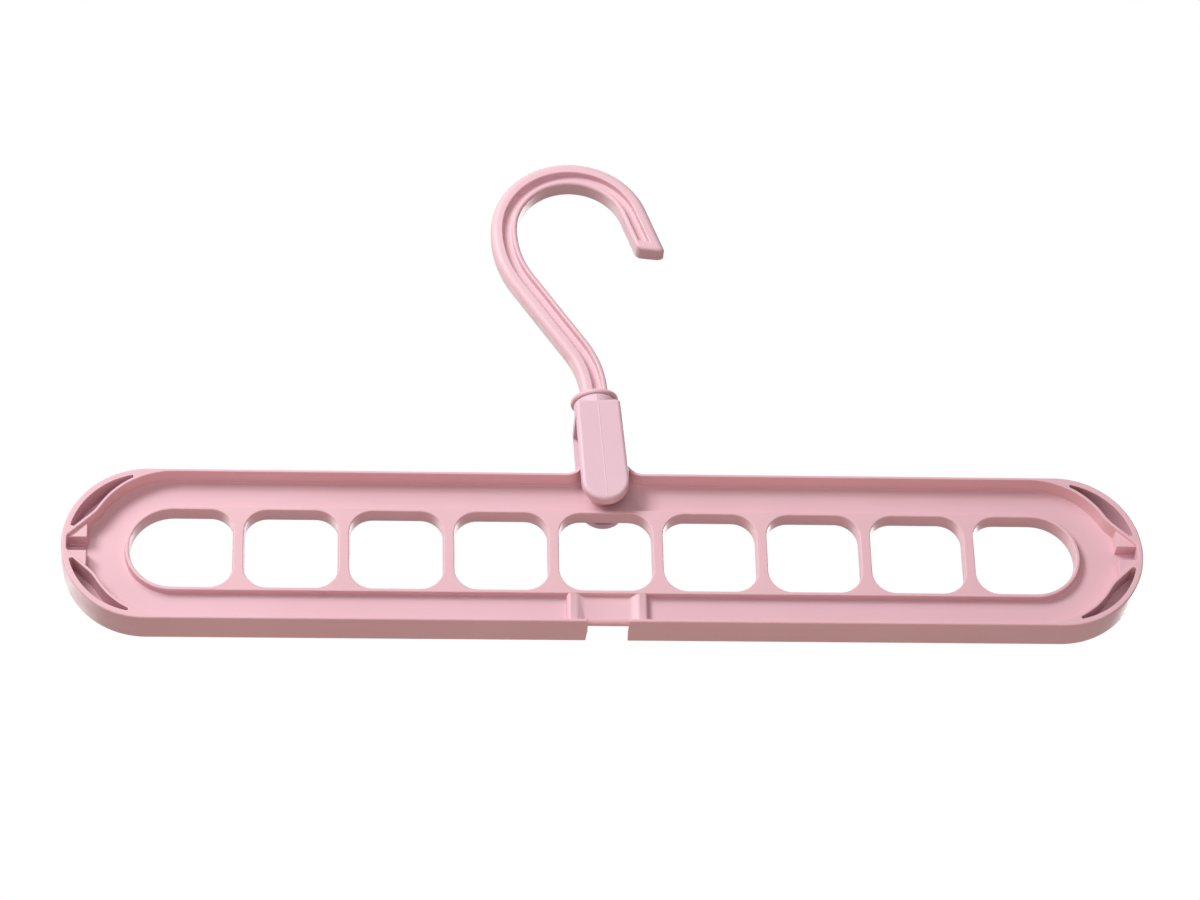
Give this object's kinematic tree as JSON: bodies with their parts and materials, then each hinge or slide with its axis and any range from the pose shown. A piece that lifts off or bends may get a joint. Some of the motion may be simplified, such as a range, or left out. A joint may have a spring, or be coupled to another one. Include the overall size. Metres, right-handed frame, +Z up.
{
  "type": "hanger organizer",
  "caption": "Slim bar with a row of rounded holes for clothes hangers, pivoting in a fork yoke under a swivel hook that goes over a rail.",
  "frame": {"origin": "inside top of the hook's arc, where it rests on the rail, in the middle of its thickness", "axes": "+Z up, +X along the bar towards the side that the hook's tip is on, front of the bar towards -Y"},
  "size_m": [0.365, 0.022, 0.1868],
  "materials": {
    "bar_plastic": "satin moulded polypropylene",
    "yoke_plastic": "satin moulded polypropylene",
    "hook_plastic": "satin moulded polypropylene"
  },
  "bodies": {
    "hook": {"swivel_hook": "hook_plastic"},
    "yoke": {"fork_yoke": "yoke_plastic"},
    "bar": {"nine_hole_bar": "bar_plastic"}
  },
  "joints": [
    {"name": "yoke_swivel", "type": "hinge", "parent": "hook", "child": "yoke", "pos_m": [0.00919, 0, -0.12456], "axis": [-0.0628, 0, 0.998], "continuous": true},
    {"name": "bar_tilt", "type": "hinge", "parent": "yoke", "child": "bar", "pos_m": [0.00919, 0, -0.12456], "axis": [0, 1, 0], "range_deg": [-63.6, 56.4]}
  ]
}
